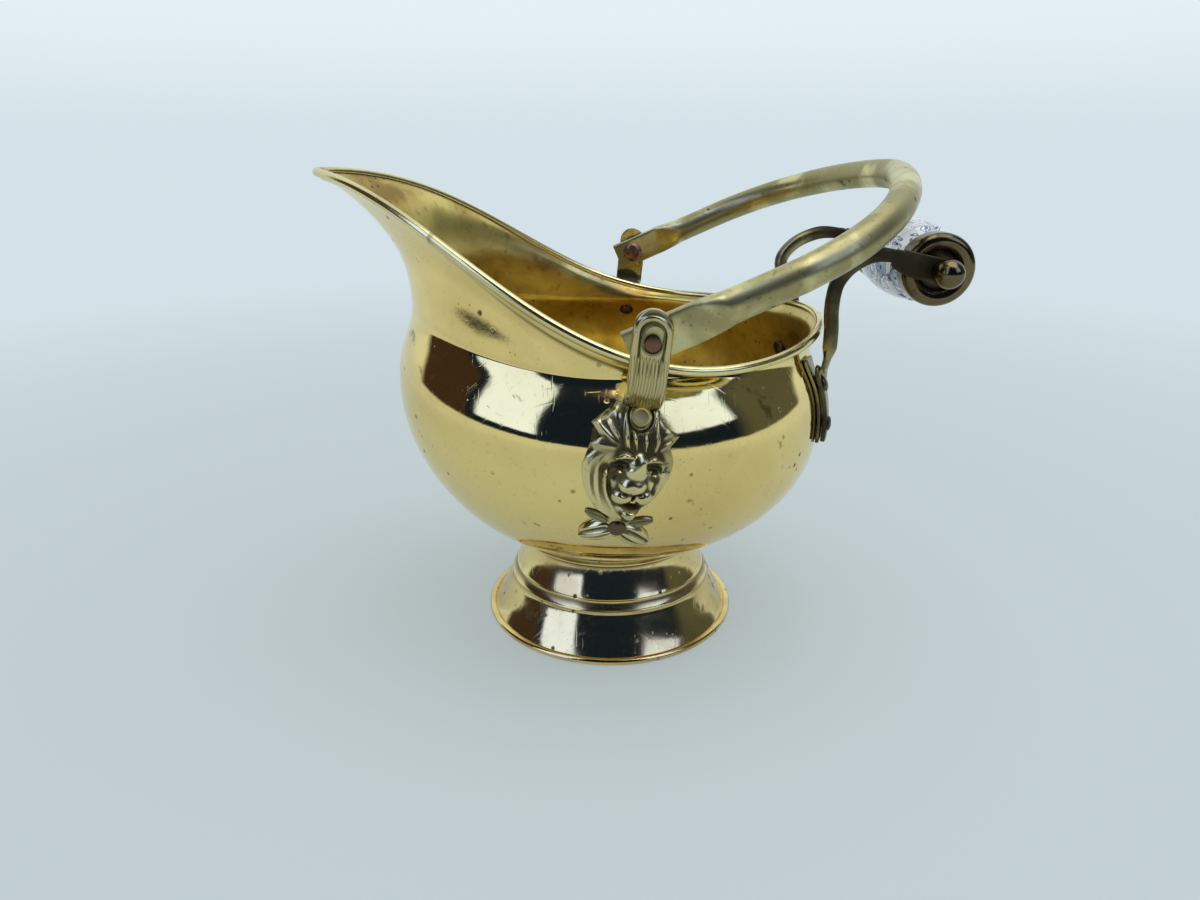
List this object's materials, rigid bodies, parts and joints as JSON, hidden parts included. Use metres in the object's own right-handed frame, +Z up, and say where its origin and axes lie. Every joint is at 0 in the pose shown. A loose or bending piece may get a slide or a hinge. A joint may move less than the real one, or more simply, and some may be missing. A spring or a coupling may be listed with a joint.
{
  "type": "coal scuttle",
  "caption": "Helmet-shaped brass coal scuttle on a turned foot, with a swinging carrying bail in cast mask ears and a fixed rear pouring handle with a porcelain grip.",
  "frame": {"origin": "on the floor, below the middle of the box round the whole scuttle at rest", "axes": "+X towards the rear handle, the spout points to -X; +Y to the scuttle's right side; +Z up"},
  "size_m": [0.3622, 0.2704, 0.2798],
  "materials": {
    "polished_brass": "polished, pale, with pits, dark tarnish and fine scratches",
    "dull_brass": "dull, with a speckled brown patina",
    "handle_brass": "polished on the high places, dark in the hollows",
    "cast_brass": "sand cast, polished high, dark in the hollows",
    "dark_brass": "tarnished",
    "copper_rivet": "dark copper",
    "porcelain": "glazed porcelain, white with cobalt blue scrolling flowers"
  },
  "bodies": {
    "scuttle": {"foot": "polished_brass", "foot_ring": "dull_brass", "bowl": "polished_brass", "rim_bead": "polished_brass", "left_ear": "cast_brass", "left_ear_lower_rivet": "dark_brass", "left_ear_upper_rivet": "dark_brass", "left_handle_arm": "dull_brass", "left_backing_strip": "dull_brass", "left_arm_lower_rivet": "dark_brass", "left_arm_upper_rivet": "dark_brass", "right_ear": "cast_brass", "right_ear_lower_rivet": "dark_brass", "right_ear_upper_rivet": "dark_brass", "right_handle_arm": "dull_brass", "right_backing_strip": "dull_brass", "right_arm_lower_rivet": "dark_brass", "right_arm_upper_rivet": "dark_brass", "grip_rod": "dark_brass", "left_grip_cap": "handle_brass", "left_ball_nut": "handle_brass", "right_grip_cap": "handle_brass", "right_ball_nut": "handle_brass"},
    "bail": {"bail": "dull_brass", "left_bail_rivet": "copper_rivet", "right_bail_rivet": "copper_rivet"},
    "grip": {"grip": "porcelain"}
  },
  "joints": [
    {"name": "bail_swing", "type": "hinge", "parent": "scuttle", "child": "bail", "pos_m": [0.00361, 0.00045, 0.20975], "axis": [0, -0.9996, -0.0288], "range_deg": [-6, 130]},
    {"name": "grip_spin", "type": "hinge", "parent": "scuttle", "child": "grip", "pos_m": [0.15841, 0.00045, 0.226], "axis": [0, 1, 0], "continuous": true}
  ]
}
